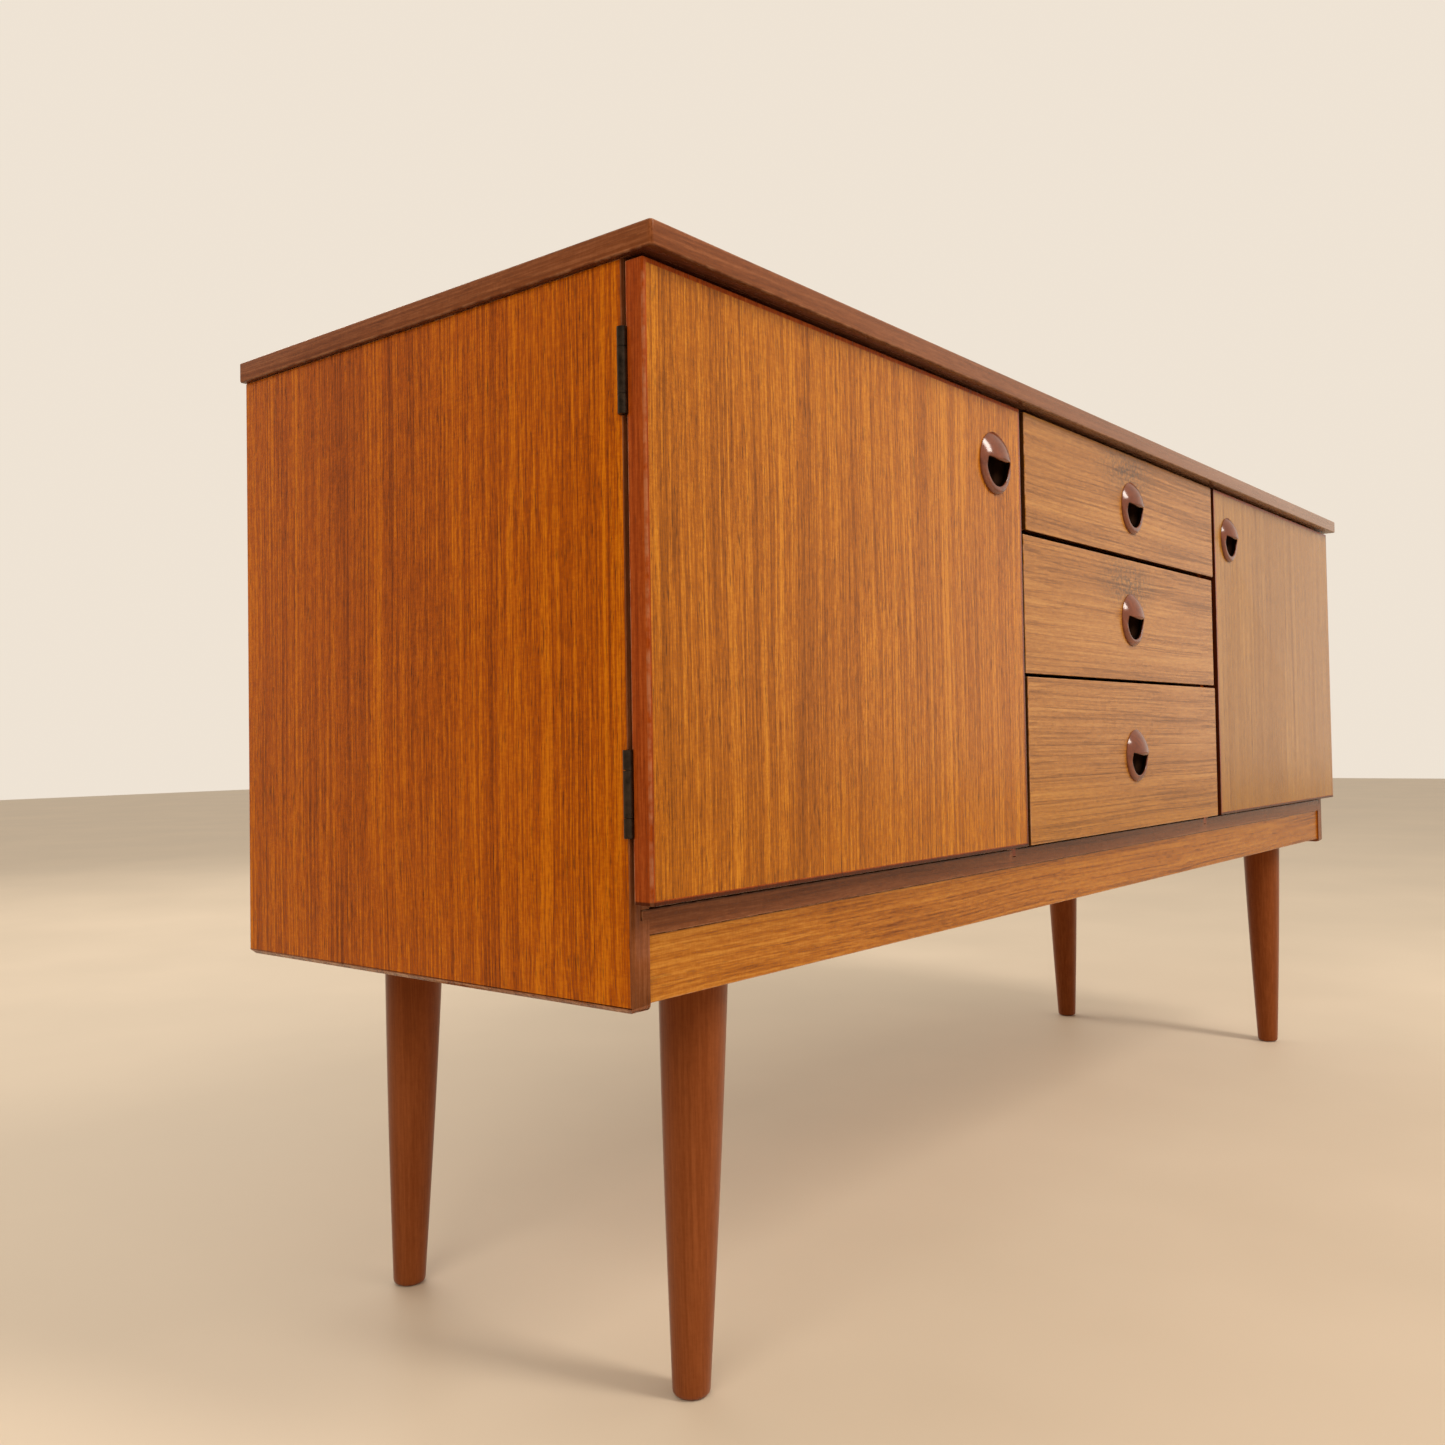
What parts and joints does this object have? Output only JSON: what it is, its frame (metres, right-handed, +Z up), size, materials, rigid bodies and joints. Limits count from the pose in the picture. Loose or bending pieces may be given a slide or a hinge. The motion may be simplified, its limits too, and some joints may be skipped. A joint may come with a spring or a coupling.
{
  "type": "sideboard",
  "caption": "Low wooden sideboard with cupboards at both ends and graduated drawers between, domed finger pulls and round tapered legs",
  "frame": {"origin": "on the floor, under the middle of the top panel", "axes": "+X to the right and +Y to the back as seen from the front, +Z up"},
  "size_m": [1.534, 0.442, 0.756],
  "materials": {
    "teak_veneer_lengthways": "satin lacquered teak veneer, grain along the length",
    "teak_veneer_upright": "satin lacquered teak veneer, upright grain",
    "teak_drawer_front": "satin lacquered teak veneer, level grain",
    "teak_rail": "satin lacquered teak, level grain",
    "hardwood_lipping": "satin red-brown hardwood strips",
    "inside_veneer": "matte inner veneer",
    "back_hardboard": "matte brown hardboard",
    "drawer_beech": "plain beech",
    "drawer_plywood": "plain plywood",
    "stained_leg": "satin dark stained beech",
    "handle_brown": "glossy red-brown",
    "hinge_bronze": "dark aged bronze",
    "steel_fixing": "zinc plated",
    "catch_plastic": "moulded"
  },
  "bodies": {
    "carcass": {"top_panel": "teak_veneer_lengthways", "top_front_lipping": "hardwood_lipping", "top_side_lippings": "hardwood_lipping", "left_side_panel": "teak_veneer_upright", "right_side_panel": "teak_veneer_upright", "left_side_lippings": "hardwood_lipping", "right_side_lippings": "hardwood_lipping", "bottom_board": "inside_veneer", "bottom_board_lipping": "hardwood_lipping", "front_rail": "teak_rail", "rear_rail": "teak_rail", "left_partition": "inside_veneer", "right_partition": "inside_veneer", "partition_lippings": "hardwood_lipping", "back_panel": "back_hardboard", "back_panel_screws": "steel_fixing", "left_shelf": "inside_veneer", "right_shelf": "inside_veneer", "shelf_pins": "steel_fixing", "top_dowels": "drawer_beech", "door_catches": "catch_plastic", "left_drawer_runners": "drawer_beech", "right_drawer_runners": "drawer_beech", "front_left_leg": "stained_leg", "front_right_leg": "stained_leg", "rear_left_leg": "stained_leg", "rear_right_leg": "stained_leg", "leg_plates": "steel_fixing", "leg_hanger_bolts": "steel_fixing", "leg_plate_screws": "steel_fixing", "hinge_carcass_leaves": "hinge_bronze", "hinge_pins": "hinge_bronze", "hinge_carcass_screws": "steel_fixing"},
    "left_door": {"left_door_panel": "teak_veneer_upright", "left_door_lippings": "hardwood_lipping", "left_door_handle": "handle_brown", "left_door_hinge_leaves": "hinge_bronze", "left_door_hinge_screws": "steel_fixing", "left_door_strike": "steel_fixing"},
    "right_door": {"right_door_panel": "teak_veneer_upright", "right_door_lippings": "hardwood_lipping", "right_door_handle": "handle_brown", "right_door_hinge_leaves": "hinge_bronze", "right_door_hinge_screws": "steel_fixing", "right_door_strike": "steel_fixing"},
    "upper_drawer": {"upper_drawer_front": "teak_drawer_front", "upper_drawer_handle": "handle_brown", "upper_drawer_sides": "drawer_beech", "upper_drawer_back": "drawer_beech", "upper_drawer_bottom": "drawer_plywood"},
    "middle_drawer": {"middle_drawer_front": "teak_drawer_front", "middle_drawer_handle": "handle_brown", "middle_drawer_sides": "drawer_beech", "middle_drawer_back": "drawer_beech", "middle_drawer_bottom": "drawer_plywood"},
    "lower_drawer": {"lower_drawer_front": "teak_drawer_front", "lower_drawer_handle": "handle_brown", "lower_drawer_sides": "drawer_beech", "lower_drawer_back": "drawer_beech", "lower_drawer_bottom": "drawer_plywood"}
  },
  "joints": [
    {"name": "left_door_hinge", "type": "hinge", "parent": "carcass", "child": "left_door", "pos_m": [-0.7636, -0.19325, 0.5425], "axis": [0, 0, -1], "range_deg": [0, 180]},
    {"name": "right_door_hinge", "type": "hinge", "parent": "carcass", "child": "right_door", "pos_m": [0.7636, -0.19325, 0.5425], "axis": [0, 0, 1], "range_deg": [0, 180]},
    {"name": "upper_drawer_slide", "type": "slide", "parent": "carcass", "child": "upper_drawer", "axis": [0, -1, 0], "range_m": [0, 0.3]},
    {"name": "middle_drawer_slide", "type": "slide", "parent": "carcass", "child": "middle_drawer", "axis": [0, -1, 0], "range_m": [0, 0.3]},
    {"name": "lower_drawer_slide", "type": "slide", "parent": "carcass", "child": "lower_drawer", "axis": [0, -1, 0], "range_m": [0, 0.3]}
  ]
}
